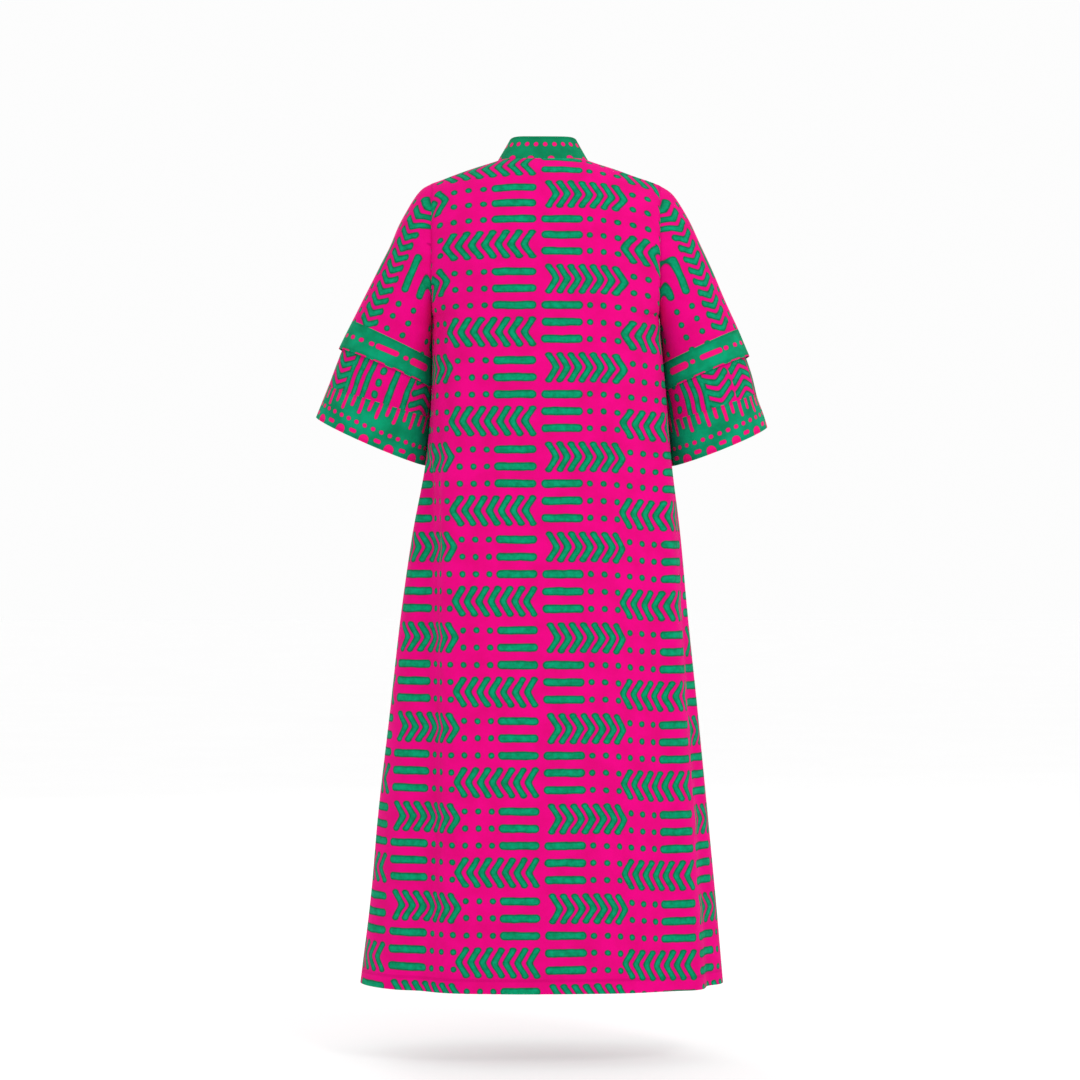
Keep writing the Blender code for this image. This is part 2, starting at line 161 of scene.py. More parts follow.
def through(places, values, place):
    """The value at each place, on a smooth curve through a table's rows."""
    places = np.asarray(places, float)
    values = np.asarray(values, float)
    slopes = np.gradient(values, places)
    row = np.clip(np.searchsorted(places, place) - 1, 0, len(places) - 2)
    span = places[row + 1] - places[row]
    part = np.clip((place - places[row]) / span, 0, 1)
    low = values[row] * (1 + 2 * part) + slopes[row] * span * part
    high = values[row + 1] * (3 - 2 * part) - slopes[row + 1] * span * (1 - part)
    return low * (1 - part) ** 2 + high * part ** 2


def ease(part):
    """A smooth step from 0 to 1, held at its ends."""
    part = np.clip(part, 0, 1)
    return part * part * (3 - 2 * part)


def body_surface(panel, across, height):
    """Points below the underarm. Across runs from 0 at the left side seam to 1 at the right."""
    heights = [row[0] for row in BODY_SECTIONS]
    left, right, back, front, corner = [through(heights, [row[k] for row in BODY_SECTIONS], height)
                                        for k in range(1, 6)]
    side = 1 if panel == "back" else -1
    depth = back if panel == "back" else front
    turn = math.pi * across
    sign = np.where(across <= 0.5, 1, -1)
    half = np.where(across <= 0.5, left, right)
    reach = np.abs(np.cos(turn)) ** (2 / corner)
    bulge = np.abs(np.sin(turn)) ** (2 / corner)
    out = np.stack([sign * reach ** (corner - 1) / half, side * bulge ** (corner - 1) / depth], axis=-1)
    out /= np.linalg.norm(out, axis=-1, keepdims=True)
    hold = ease(np.minimum(turn, math.pi - turn) * (left + depth) / 2 / SIDE_HOLD)
    drop = (UNDERARM - height) / (UNDERARM - HEM)
    folds = np.zeros_like(height)
    for top_x, hem_x, half_width, depths in BACK_FOLDS if panel == "back" else FRONT_FOLDS:
        x = top_x + (hem_x - top_x) * drop
        fold_half = np.where(x > 0, left, right)
        middle = np.arccos(np.minimum(np.abs(x) / fold_half, 1) ** (corner / 2))
        middle = np.where(x < 0, math.pi - middle, middle)
        distance = (turn - middle) * (fold_half + depth) / 2
        folds += through(FOLD_LEVELS, depths, height) * np.exp(-(distance / half_width) ** 2)
    x = sign * half * reach + out[..., 0] * folds * hold
    y = side * np.maximum(depth * bulge, SEAM_GAP / 2) + out[..., 1] * folds * hold
    return np.stack([x, y, height], axis=-1)


def ridge_height(x):
    """Height of the shoulder seam, and of the dome above the neck hole."""
    inside = SHOULDER_SLOPE * (NECK_HALF_WIDTH ** 2 - x * x) / (2 * NECK_HALF_WIDTH)
    return np.where(np.abs(x) >= NECK_HALF_WIDTH, -SHOULDER_SLOPE * (np.abs(x) - NECK_HALF_WIDTH), inside)


def dome_depth(panel, x, lift):
    """How far out the shoulder dome lies. Lift runs from 0 at the underarm to 1 at the ridge."""
    rounding = SHOULDER_ROUND[panel]
    corner = BODY_SECTIONS[-1][5]
    depth = BODY_SECTIONS[-1][3 if panel == "back" else 4]
    reach = np.minimum(np.abs(x) / np.where(x > 0, ARMHOLE_X[1], ARMHOLE_X[-1]), 1)
    closed = np.maximum(1 - reach ** corner, 0) ** (1 / corner)
    weight = closed + (1 - reach ** 3 - closed) * ease(lift / 0.7)
    oval = 2 * np.sqrt(np.maximum(lift * (1 - lift), 0))
    inner = np.where(lift < 0.5, ease(2 * lift), oval)
    edge = ARMHOLE_DEPTH * (inner + (oval - inner) * reach ** 12)
    return edge * (1 - weight) + weight * depth * np.maximum(1 - lift ** rounding, 0) ** (1 / rounding)


def neckline_lift(panel, x, depth):
    """Where the dome reaches the neckline's depth, found by halving the interval."""
    low = np.full(np.shape(x), 0.5)
    high = np.ones(np.shape(x))
    for _ in range(HALVINGS):
        middle = (low + high) / 2
        deeper = dome_depth(panel, x, middle) > depth
        low = np.where(deeper, middle, low)
        high = np.where(deeper, high, middle)
    return high


def yoke_surface(panel, across, turn):
    """Points above the underarm. The turn runs from 0 at the underarm to pi at the top edge."""
    side = 1 if panel == "back" else -1
    low = body_surface(panel, across, np.full(across.shape, UNDERARM))
    angle = math.pi * (across - NECK_START) / (1 - 2 * NECK_START)
    in_neck = (across > NECK_START - 1e-9) & (across < 1 - NECK_START + 1e-9)
    neck_x = NECK_HALF_WIDTH * np.cos(angle)
    neck_lift = neckline_lift(panel, neck_x, NECK_DEPTH[panel] * np.abs(np.sin(angle)))
    corners = body_surface(panel, np.array([NECK_START, 1 - NECK_START]), np.full(2, UNDERARM))[:, 0]
    corner_x = np.where(across < 0.5, abs(corners[0]), abs(corners[1]))
    armhole_x = np.where(across < 0.5, ARMHOLE_X[1], ARMHOLE_X[-1])
    part = (np.abs(low[..., 0]) - corner_x) / (armhole_x - corner_x)
    seam_x = np.copysign(NECK_HALF_WIDTH + (armhole_x - NECK_HALF_WIDTH) * part, low[..., 0])
    top_x = np.where(in_neck, neck_x, seam_x)
    rise = (1 - np.cos(turn)) / 2
    x = low[..., 0] + (top_x - low[..., 0]) * rise ** 2
    lift = rise * np.where(in_neck, neck_lift, 1)
    fold = (low[..., 1] - side * dome_depth(panel, low[..., 0], 0 * rise)) * (1 - ease(rise))
    y = side * np.maximum(dome_depth(panel, x, lift), SEAM_GAP / 2) + fold
    z = UNDERARM + (ridge_height(x) - UNDERARM) * lift
    edge = (across < 1e-9) | (across > 1 - 1e-9)
    x = np.where(edge, x - np.copysign(SEAM_GAP / 2, x), x)
    y = np.where(edge, side * np.maximum(ARMHOLE_DEPTH * np.sin(turn), SEAM_GAP / 2), y)
    return np.stack([x, y, z], axis=-1)


def outward(points):
    """The outward direction at each point of a grid, seen from outside with its rows going up."""
    normals = np.cross(np.gradient(points, axis=1), np.gradient(points, axis=0))
    return normals / np.maximum(np.linalg.norm(normals, axis=2, keepdims=True), 1e-12)


def crease_depth(place, creases):
    """How far the small creases move each point of the cloth out."""
    total = np.zeros(place.shape[:2])
    for start_across, start_up, end_across, end_up, half_width, depth in creases:
        start = np.array((start_across, start_up))
        run = np.array((end_across, end_up)) - start
        share = ((place - start) @ run) / (run @ run)
        distance = np.linalg.norm(place - start - np.clip(share, 0, 1)[..., None] * run, axis=-1)
        total += depth * np.exp(-(distance / half_width) ** 2) * ease(share / 0.3 + 0.5) * ease((1.2 - share) / 0.5)
    return total


def slack_depth(place, size, seed):
    """The slight unevenness of hanging cloth, as a few long waves across it."""
    across, up = place[..., 0], place[..., 1]
    total = np.zeros(across.shape)
    for k in range(1, 6):
        lean = math.sin(2.3 * k + seed)
        waves = across * (5 + 2.3 * k) + up * (0.9 + 0.7 * k) * lean
        total += np.sin(2 * math.pi * waves + 1.7 * k * seed) / (k + 1)
    return size * total


def cloth_sheet(name, points, place, edges):
    """A sheet of cloth through a grid of points, with the cloth's own place in metres as its UV map."""
    rows, columns = points.shape[:2]
    bpy.ops.object.select_all(action="DESELECT")
    bpy.ops.mesh.primitive_grid_add(x_subdivisions=columns - 1, y_subdivisions=rows - 1, size=1)
    piece = bpy.context.object
    piece.name = piece.data.name = name
    mesh = piece.data
    mesh.vertices.foreach_set("co", points.reshape(-1))
    corners = np.empty(len(mesh.loops), dtype=np.int32)
    mesh.loops.foreach_get("vertex_index", corners)
    mesh.uv_layers.active.name = "cloth"
    mesh.uv_layers.active.data.foreach_set("uv", place.reshape(-1, 2)[corners].reshape(-1))
    edge_map = mesh.uv_layers.new(name="edges")
    edge_map.data.foreach_set("uv", edges.reshape(-1, 2)[corners].reshape(-1))
    mesh.update()
    return piece


def finish_cloth(piece, node_name, slot, material, cut, area, held_by, thickness=CLOTH):
    """Merges the sheet's meeting edges, gives it its thickness and puts it in place of its solid. Its cut, its
    greatest width and length as it lay flat, and its flat area and the pieces that it is sewn to, are not used."""
    bpy.context.view_layer.objects.active = piece
    piece.select_set(True)
    bpy.ops.object.mode_set(mode="EDIT")
    bpy.ops.mesh.select_all(action="SELECT")
    bpy.ops.mesh.remove_doubles(threshold=SAME_POINT)
    bpy.ops.object.mode_set(mode="OBJECT")
    wall = piece.modifiers.new("cloth thickness", "SOLIDIFY")
    wall.thickness = thickness
    wall.offset = -1
    bpy.ops.object.modifier_apply(modifier=wall.name)
    bpy.ops.object.shade_smooth_by_angle(angle=math.radians(SMOOTH_ANGLE))
    piece.data.materials.append(material)
    piece.select_set(False)
    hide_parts(node_name)
    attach(piece, "root")


def linear(hex_colour):
    """An sRGB hex colour as the linear values that the shader takes."""
    parts = [int(hex_colour[k:k + 2], 16) / 255 for k in (1, 3, 5)]
    return tuple(p / 12.92 if p <= 0.04045 else ((p + 0.055) / 1.055) ** 2.4 for p in parts) + (1.0,)


def node(tree, kind, inputs=(), out=0, **settings):
    """Adds a node with its settings, fills its inputs with values or links, and gives one of its outputs."""
    made = tree.nodes.new("ShaderNode" + kind)
    for setting, value in settings.items():
        setattr(made, setting, value)
    for key, value in inputs.items() if isinstance(inputs, dict) else enumerate(inputs):
        if isinstance(value, bpy.types.NodeSocket):
            tree.links.new(value, made.inputs[key])
        else:
            made.inputs[key].default_value = value
    return made.outputs[out]


# The print's motifs, in millimetres, measured on the cloth. They are the plain dots, bars and chevrons of
# traditional mud-dyed cloth, charted.
REPEAT = (284.0, 151.6)
ROW_PITCH = 28.9
BAR_HALF = 27.9
BAR_RADIUS = 6.8
DOT_PITCH = 22.8
DOT_RADIUS = 5.2
CHEVRON_ARM = (12.2, 18.0)
CHEVRON_RADIUS = 5.2
CHEVRON_TIP = 3.0
# The print's lines waver by about a millimetre, in waves of about 22 mm.
WAVER_SCALE = 0.045
WAVER_REACH = 3.2


def nearest(tree, place, first, pitch, count):
    """The distance along one axis to the nearest of a row of equally spaced places."""
    steps = node(tree, "Math", (node(tree, "Math", (place, first), operation="SUBTRACT"), pitch), operation="DIVIDE")
    whole = node(tree, "Clamp", (node(tree, "Math", (steps,), operation="ROUND"), 0.0, count - 1.0))
    back = node(tree, "Math", (whole, pitch, first), operation="MULTIPLY_ADD")
    return node(tree, "Math", (place, back), operation="SUBTRACT")


def capsule(tree, across, along, half_length, radius):
    """The distance to a bar with round ends, negative inside it. A half length of 0 gives a dot."""
    beyond = node(tree, "Math", (along,), operation="ABSOLUTE")
    beyond = node(tree, "Math", (beyond, half_length), operation="SUBTRACT")
    beyond = node(tree, "Math", (beyond, 0.0), operation="MAXIMUM")
    length = node(tree, "VectorMath", (node(tree, "CombineXYZ", (beyond, across, 0.0)),), out=1, operation="LENGTH")
    return node(tree, "Math", (length, radius), operation="SUBTRACT")


def chevron_row(tree, x, y, first, count, pitch, sign=1, arm=CHEVRON_ARM):
    """The distance to a row of chevrons along x, their tips at first and each pitch after it."""
    arm_x, arm_y = arm
    squared = node(tree, "Math", (y, y, CHEVRON_TIP ** 2), operation="MULTIPLY_ADD")
    up = node(tree, "Math", (node(tree, "Math", (squared,), operation="SQRT"), CHEVRON_TIP), operation="SUBTRACT")
    reach = node(tree, "Math", (up, arm_y), operation="MINIMUM")
    slant = node(tree, "Math", (reach, sign * arm_x / arm_y, x), operation="MULTIPLY_ADD")
    across = nearest(tree, slant, first, pitch, count)
    straight = node(tree, "Math", (across, arm_y / math.hypot(arm_x, arm_y)), operation="MULTIPLY")
    beyond = node(tree, "Math", (node(tree, "Math", (up, arm_y), operation="SUBTRACT"), 0.0), operation="MAXIMUM")
    length = node(tree, "VectorMath", (node(tree, "CombineXYZ", (straight, beyond, 0.0)),), out=1, operation="LENGTH")
    return node(tree, "Math", (length, CHEVRON_RADIUS), operation="SUBTRACT")


def closest(tree, distances):
    """The smallest of the distances, which joins the motifs."""
    total = distances[0]
    for distance in distances[1:]:
        total = node(tree, "Math", (total, distance), operation="MINIMUM")
    return total


def printed_cotton(name):
    """A plain-weave cotton material, its nodes, its cloth place in millimetres, and that place's two axes, slightly
    uneven as print is."""
    material = bpy.data.materials.new(name)
    material.use_nodes = True
    tree = material.node_tree
    place = node(tree, "UVMap", uv_map="cloth")
    millimetres = node(tree, "VectorMath", {0: place, "Scale": 1000.0}, operation="SCALE")
    waver = node(tree, "TexNoise", {"Vector": millimetres, "Scale": WAVER_SCALE, "Detail": 2.0}, out=1)
    centred = node(tree, "VectorMath", (waver, (0.5, 0.5, 0.5)), operation="SUBTRACT")
    moved = node(tree, "VectorMath", {0: centred, 1: (WAVER_REACH, WAVER_REACH, 0.0), 2: millimetres},
                 operation="MULTIPLY_ADD")
    axes = node(tree, "SeparateXYZ", (moved,)).node.outputs
    return material, tree, millimetres, axes[0], axes[1]


def from_edges(tree):
    """The places from the cloth's two kinds of edge in millimetres, out of its second UV map."""
    scaled = node(tree, "VectorMath", {0: node(tree, "UVMap", uv_map="edges"), "Scale": 1000.0}, operation="SCALE")
    axes = node(tree, "SeparateXYZ", (scaled,)).node.outputs
    return axes[0], axes[1]


def within_repeat(tree, place, middle, period):
    """The place within one repeat, from minus half to plus half of it."""
    return node(tree, "Math", (node(tree, "Math", (place, middle), operation="SUBTRACT"), -period / 2, period / 2),
                operation="WRAP")


# Cotton printed all over, dyed pink with green motifs: matt, a faint lighter bloom where it turns away, dye a
# little uneven, and a darker green line where the two inks meet. The weave shows only close up.
PINK = "#e0037c"
PINK_DEEP = "#d40470"
GREEN = "#07986c"
GREEN_DEEP = "#057c52"
INK_LINE = "#023c2c"
COTTON_FINISH = (("Roughness", 0.86), ("Specular IOR Level", 0.04), ("Sheen Weight", 0.015),
                 ("Sheen Roughness", 0.5))
# The dye's clouds are about 45 mm across, the ink's blots 11 mm and the thick places of the threads 3 mm.
DYE_CLOUDS = 0.022
INK_BLOTS = 0.09
SLUBS = 0.35
# The real threads lie about 0.4 mm apart, too fine to show here, so they are drawn 1.1 mm apart.
THREAD_PITCH = 1.1
# A stitch and its gap take 3.2 mm; the cloth is drawn in, with painted shade, for 4 mm on each side of a row.
STITCH_PITCH = 3.2
STITCH_DENT = 4.0


def ink_and_weave(material, millimetres, distance, ground, ground_deep, motif, motif_deep, line, outline=3.2,
                  stitches=()):
    """Colours the cloth by the distance to its motifs, and gives it its stitches, weave and sheen, with painted shade
    darkening the colour in the stitch rows' dents. Each row of stitches is given by the places across it and along it."""
    tree = material.node_tree
    shader = tree.nodes["Principled BSDF"]
    # The noise stays between about 0.36 and 0.66, and is stretched to the whole mix.
    cloud = node(tree, "TexNoise", {"Vector": millimetres, "Scale": DYE_CLOUDS, "Detail": 3.0, "Roughness": 0.6})
    patch = node(tree, "MapRange", {"Value": cloud, "From Min": 0.38, "From Max": 0.66})
    blot = node(tree, "TexNoise", {"Vector": millimetres, "Scale": INK_BLOTS, "Detail": 3.0, "Roughness": 0.65})
    mottle = node(tree, "MapRange", {"Value": blot, "From Min": 0.36, "From Max": 0.66})
    under = node(tree, "Mix", {"Factor": patch, 6: linear(ground), 7: linear(ground_deep)}, out=2, data_type="RGBA")
    over = node(tree, "Mix", {"Factor": mottle, 6: linear(motif), 7: linear(motif_deep)}, out=2, data_type="RGBA")
    edge = node(tree, "MapRange", {"Value": distance, "From Min": -outline, "From Max": 0.0, "To Max": 0.9})
    outlined = node(tree, "Mix", {"Factor": edge, 6: over, 7: linear(line)}, out=2, data_type="RGBA")
    bled = node(tree, "MapRange", {"Value": distance, "From Min": 0.0, "From Max": 1.2, "To Min": 0.4})
    ground_edge = node(tree, "VectorMath", {0: under, "Scale": bled}, operation="SCALE")
    inside = node(tree, "MapRange", {"Value": distance, "From Min": 0.3, "From Max": -0.3})
    coloured = node(tree, "Mix", {"Factor": inside, 6: ground_edge, 7: outlined}, out=2, data_type="RGBA")
    sewn = None
    for across, along in stitches:
        step = node(tree, "Math", (along, STITCH_PITCH / 2), operation="PINGPONG")
        lying = node(tree, "MapRange", {"Value": step, "From Min": 0.35, "From Max": 0.65})
        off = node(tree, "Math", (across,), operation="ABSOLUTE")
        thread = node(tree, "Math", (node(tree, "MapRange", {"Value": off, "From Min": 0.7, "From Max": 0.25}), lying),
                      operation="MULTIPLY")
        dent = node(tree, "MapRange", {"Value": off, "From Min": STITCH_DENT, "From Max": 0.0, "To Max": -1.0},
                    interpolation_type="SMOOTHSTEP")
        row = node(tree, "Math", (thread, 0.8, dent), operation="MULTIPLY_ADD")
        sewn = row if sewn is None else node(tree, "Math", (sewn, row), operation="ADD")
        # Painted shade: the colour is darkened by up to a fifth in each stitch row's dent and between its stitches.
        dent_painted_shade = node(tree, "MapRange", {"Value": row, "From Min": -1.0, "From Max": 0.0, "To Min": 0.82})
        coloured = node(tree, "VectorMath", {0: coloured, "Scale": dent_painted_shade}, operation="SCALE")
    tree.links.new(coloured, shader.inputs["Base Color"])
    threads = node(tree, "VectorMath", {0: millimetres, "Scale": 2 * math.pi / THREAD_PITCH}, operation="SCALE")
    waves = node(tree, "VectorMath", (threads,), operation="SINE")
    ribs = node(tree, "SeparateXYZ", (waves,)).node.outputs
    weave = node(tree, "Math", (ribs[0], ribs[1]), operation="MULTIPLY")
    slub = node(tree, "TexNoise", {"Vector": millimetres, "Scale": SLUBS, "Detail": 2.0})
    height = node(tree, "Math", (slub, 0.8, weave), operation="MULTIPLY_ADD")
    relief = {"Height": height, "Strength": 0.25, "Distance": 0.00012}
    if sewn is not None:
        relief["Normal"] = node(tree, "Bump", {"Height": sewn, "Strength": 0.6, "Distance": 0.0005})
    tree.links.new(node(tree, "Bump", relief), shader.inputs["Normal"])
    for socket, value in COTTON_FINISH:
        shader.inputs[socket].default_value = value


# The body's chart, in millimetres: in each repeat the upper rows hold chevrons, dots and bars, and the lower rows
# the same turned half round.
CELL_MIDDLE = (142.0, -700.7)
CHEVRON_MIDDLE = 45.4
CHEVRONS_IN_ROW = 7
FIRST_DOT = 11.4
BAR_MIDDLE = 103.4
UPPER_CHEVRONS = (-113.4, 18.5)
LOWER_CHEVRONS = (-119.6, 20.2)
HEM_FOLD = 22.0

body_cotton, tree, body_mm, body_x, body_y = printed_cotton("body_printed_cotton")
cell_x = within_repeat(tree, body_x, CELL_MIDDLE[0], REPEAT[0])
cell_y = within_repeat(tree, body_y, CELL_MIDDLE[1], REPEAT[1])
turned_x = node(tree, "Math", (cell_x, -1.0), operation="MULTIPLY")
turned_y = node(tree, "Math", (cell_y, -1.0), operation="MULTIPLY")
parts = []
for x, y, (first_tip, pitch) in ((cell_x, cell_y, UPPER_CHEVRONS), (turned_x, turned_y, LOWER_CHEVRONS)):
    row = nearest(tree, y, 0.0, ROW_PITCH, 3)
    chevron_y = node(tree, "Math", (y, CHEVRON_MIDDLE), operation="SUBTRACT")
    parts.append(chevron_row(tree, x, chevron_y, first_tip, CHEVRONS_IN_ROW, pitch))
    parts.append(capsule(tree, row, nearest(tree, x, FIRST_DOT, DOT_PITCH, 3), 0.0, DOT_RADIUS))
    bar_x = node(tree, "Math", (x, BAR_MIDDLE), operation="SUBTRACT")
    parts.append(capsule(tree, row, bar_x, BAR_HALF, BAR_RADIUS))
body_distance = closest(tree, parts)
from_seam, above_hem = from_edges(tree)
hem_row = node(tree, "Math", (above_hem, HEM_FOLD), operation="SUBTRACT")
ink_and_weave(body_cotton, body_mm, body_distance, PINK, PINK_DEEP, GREEN, GREEN_DEEP, INK_LINE,
              stitches=((hem_row, body_x), (from_seam, above_hem)))


def hung_print(height, along, upward):
    """The print's own place, where it hangs a little out of true on the back."""
    levels = [row[0] for row in BACK_PRINT]
    width, left_fold, right_fold, shift, drop = [through(levels, [row[k] for row in BACK_PRINT], height)
                                                 for k in range(1, 6)]
    moved = along - shift
    fold_start, fold_width = LEFT_FOLD
    rise_start, rise_width, rise = RIGHT_RISE
    left = (moved - left_fold * ease((-moved - fold_start) / fold_width)) / width
    right = moved + right_fold * np.maximum(moved - RIGHT_FOLD_START, 0)
    return np.where(moved < 0, left, right), upward + drop + rise * ease((moved - rise_start) / rise_width)


def distance_along(lengths):
    """How far each point of a row lies from its first, from the lengths between them."""
    return np.concatenate([np.zeros((len(lengths), 1)), np.cumsum(lengths, axis=1)], axis=1)


def panel_surface(panel):
    """The whole panel's points, its cloth place and its edge distances, seen from outside."""
    shares = np.arange(COLUMNS + 1) / COLUMNS
    heights = HEM + (UNDERARM - HEM) * np.arange(BODY_ROWS) / BODY_ROWS
    across, height = np.meshgrid(shares, heights)
    lower = body_surface(panel, across, height)
    across, turn = np.meshgrid(shares, math.pi * np.arange(YOKE_ROWS + 1) / YOKE_ROWS)
    points = np.concatenate([lower, yoke_surface(panel, across, turn)])
    if panel == "front":
        points = points[:, ::-1]
    step = np.diff(points, axis=1)
    length = np.linalg.norm(step, axis=2)
    flat = np.abs(step[..., 0])
    run = np.maximum(length / PRINT_STRETCH, np.minimum(flat, length))
    along = distance_along(run)
    centre = COLUMNS // 2
    along -= along[:, centre:centre + 1]
    rise = np.linalg.norm(np.diff(points[:, centre], axis=0), axis=1)
    up = HEM + np.concatenate([[0], np.cumsum(rise)])
    up += UNDERARM - up[BODY_ROWS]
    level = np.where(np.arange(len(up)) > BODY_ROWS, up, points[:, centre, 2])
    upward = np.repeat(level[:, None], COLUMNS + 1, axis=1)
    climb = np.linalg.norm(np.diff(points[BODY_ROWS:], axis=0), axis=2)
    upward[BODY_ROWS:] += YOKE_GRAIN * (UNDERARM + distance_along(climb.T).T - upward[BODY_ROWS:])
    if panel == "back":
        along, upward = hung_print(points[:, centre, 2][:, None], along + PRINT_MIDDLE, upward)
    place = np.stack([along, upward], axis=-1)
    arc = distance_along(length)
    seam = np.minimum(arc, arc[:, -1:] - arc)
    edges = np.stack([seam, points[..., 2] - HEM], axis=-1)
    return points, place, edges


def creased(points, place, edges, middle, creases, seed):
    """The panel's points with its small creases, which the side seams hold flat."""
    low_place = place - np.array((middle, UNDERARM))
    moved = crease_depth(low_place, creases) + slack_depth(low_place, PANEL_UNEVENNESS, seed)
    moved *= ease(edges[..., 0] / SEAM_HOLD)
    return points + outward(points) * moved[..., None]


back_points, back_place, back_edges = panel_surface("back")
back_points = creased(back_points, back_place, back_edges, PRINT_MIDDLE, BACK_CREASES, 1.3)
back_panel = cloth_sheet("back_cloth", back_points, back_place, back_edges)
finish_cloth(back_panel, "back_panel", "body_cotton", body_cotton, *PANEL_CUTS["back_panel"], ["collar"])

front_points, front_place, front_edges = panel_surface("front")
front_points = creased(front_points, front_place, front_edges, 0, FRONT_CREASES, 4.1)
# The slit: the two halves of the front part from the underarm's level up, and the faces between them go.
centre = COLUMNS // 2
opened = np.concatenate([np.zeros(BODY_ROWS), (1 - np.cos(math.pi * np.arange(YOKE_ROWS + 1) / YOKE_ROWS)) / 2])
front_points, front_place, front_edges = [np.concatenate([grid[:, :centre + 1], grid[:, centre:]], axis=1)
                                          for grid in (front_points, front_place, front_edges)]
front_points[:, centre, 0] = -SLIT_HALF_GAP * opened
front_points[:, centre + 1, 0] = SLIT_HALF_GAP * opened
front_panel = cloth_sheet("front_cloth", front_points, front_place, front_edges)
bpy.ops.object.mode_set(mode="EDIT")
bpy.ops.mesh.select_all(action="DESELECT")
bpy.ops.object.mode_set(mode="OBJECT")
width = COLUMNS + 2
for face in front_panel.data.polygons:
    columns = {corner % width for corner in face.vertices}
    face.select = columns == {centre, centre + 1}
bpy.ops.object.mode_set(mode="EDIT")
bpy.ops.mesh.delete(type="ONLY_FACE")
bpy.ops.object.mode_set(mode="OBJECT")
finish_cloth(front_panel, "front_panel", "body_cotton", body_cotton, *PANEL_CUTS["front_panel"], ["collar"])


# Collar: a doubled band of the border cloth that stands on the neckline, leans in a little and stays open
# over the slit. It is green with one row of pink dots near its upper fold, and half dots cut by its seam.
COLLAR_HALF_WIDTH = 0.058
COLLAR_DEPTH = {"back": 0.044, "front": 0.064}
COLLAR_HEIGHT = 0.033
COLLAR_SLOPE = 0.417
COLLAR_CURVE = -6.9
COLLAR_STEPS = 144
COLLAR_ROWS = 14
COLLAR_CLOTH = 0.0020
COLLAR_UNEVENNESS = 0.0006
# The collar's foot lies just inside the panels and reaches this share of its height below the neckline.
COLLAR_INSET = 0.0004
COLLAR_TUCK = 0.03
# The band laid flat: its greatest length and height, and its area.
COLLAR_CUT = ((0.440, 0.045), 0.0178)
# The chart in millimetres: dots below the upper fold, larger half dots along the seam. middle, pitch, radius
COLLAR_DOTS = (4.0, 16.4, 4.2)
COLLAR_HALF_DOTS = (12.0, 30.0, 5.5)
DOTS_BELOW_FOLD = 15.0
EDGE_STITCHES = 3.0
# The border cloth is the same cotton printed the other way round, green with pink motifs, so it looks matt and
# even, and its motifs have only a thin, dull line where the inks meet.
BORDER_OUTLINE = 0.8
COLLAR_GREEN = "#08754c"
COLLAR_GREEN_PALE = "#0a8a5c"
BORDER_PINK = "#ea1070"
BORDER_PINK_DEEP = "#e20c78"
BORDER_LINE = "#7c2c4e"

angles = -math.pi / 2 + 2 * math.pi * np.arange(COLLAR_STEPS + 1) / COLLAR_STEPS
foot = np.zeros((COLLAR_STEPS + 1, 3))
for panel, side in (("back", 1), ("front", -1)):
    chosen = np.sin(angles) > 0 if side == 1 else np.sin(angles) <= 0
    x = NECK_HALF_WIDTH * np.cos(angles)
    depth = NECK_DEPTH[panel] * np.abs(np.sin(angles))
    lift = neckline_lift(panel, x, depth)
    foot[chosen] = np.stack([x, side * depth, UNDERARM + (ridge_height(x) - UNDERARM) * lift], axis=-1)[chosen]
top_depth = np.where(np.sin(angles) > 0, COLLAR_DEPTH["back"], COLLAR_DEPTH["front"])
top_y = top_depth * np.sin(angles)
top = np.stack([COLLAR_HALF_WIDTH * np.cos(angles), top_y,
                COLLAR_HEIGHT + COLLAR_SLOPE * top_y + COLLAR_CURVE * top_y ** 2], axis=-1)
foot[0, 0] = top[0, 0] = SLIT_HALF_GAP
foot[-1, 0] = top[-1, 0] = -SLIT_HALF_GAP
share = np.linspace(-COLLAR_TUCK, 1, COLLAR_ROWS + 1)[:, None, None]
collar_points = foot[None] + (top - foot)[None] * share
collar_points -= outward(collar_points) * (SEAM_GAP + COLLAR_INSET)
run = np.linalg.norm(np.diff(collar_points[COLLAR_ROWS // 2], axis=0), axis=1)
along = np.concatenate([[0], np.cumsum(run)])
height = np.linalg.norm(top - foot, axis=1)
collar_place = np.stack([np.repeat((along - along[-1] / 2)[None], COLLAR_ROWS + 1, axis=0),
                         share[..., 0] * height[None]], axis=-1)
collar_edges = np.stack([np.repeat(np.minimum(along, along[-1] - along)[None], COLLAR_ROWS + 1, axis=0),
                         (1 - share[..., 0]) * height[None]], axis=-1)
moved = slack_depth(collar_place, COLLAR_UNEVENNESS, 2.2) * ease(share[..., 0])
collar_points += outward(collar_points) * moved[..., None]

collar_cotton, tree, collar_mm, collar_x, collar_y = printed_cotton("collar_printed_cotton")
from_end, from_top = from_edges(tree)
dot_y = node(tree, "Math", (from_top, DOTS_BELOW_FOLD), operation="SUBTRACT")
dots = [capsule(tree, across, within_repeat(tree, collar_x, middle, pitch), 0.0, radius)
        for across, (middle, pitch, radius) in ((dot_y, COLLAR_DOTS), (collar_y, COLLAR_HALF_DOTS))]
top_row = node(tree, "Math", (from_top, EDGE_STITCHES), operation="SUBTRACT")
end_row = node(tree, "Math", (from_end, EDGE_STITCHES), operation="SUBTRACT")
ink_and_weave(collar_cotton, collar_mm, closest(tree, dots), COLLAR_GREEN, COLLAR_GREEN_PALE, BORDER_PINK,
              BORDER_PINK_DEEP, BORDER_LINE, outline=BORDER_OUTLINE,
              stitches=((top_row, collar_x), (end_row, from_top)))
collar = cloth_sheet("collar_band", collar_points, collar_place, collar_edges)
finish_cloth(collar, "collar", "collar_cotton", collar_cotton, *COLLAR_CUT, ["back_cloth", "front_cloth"],
             thickness=COLLAR_CLOTH)


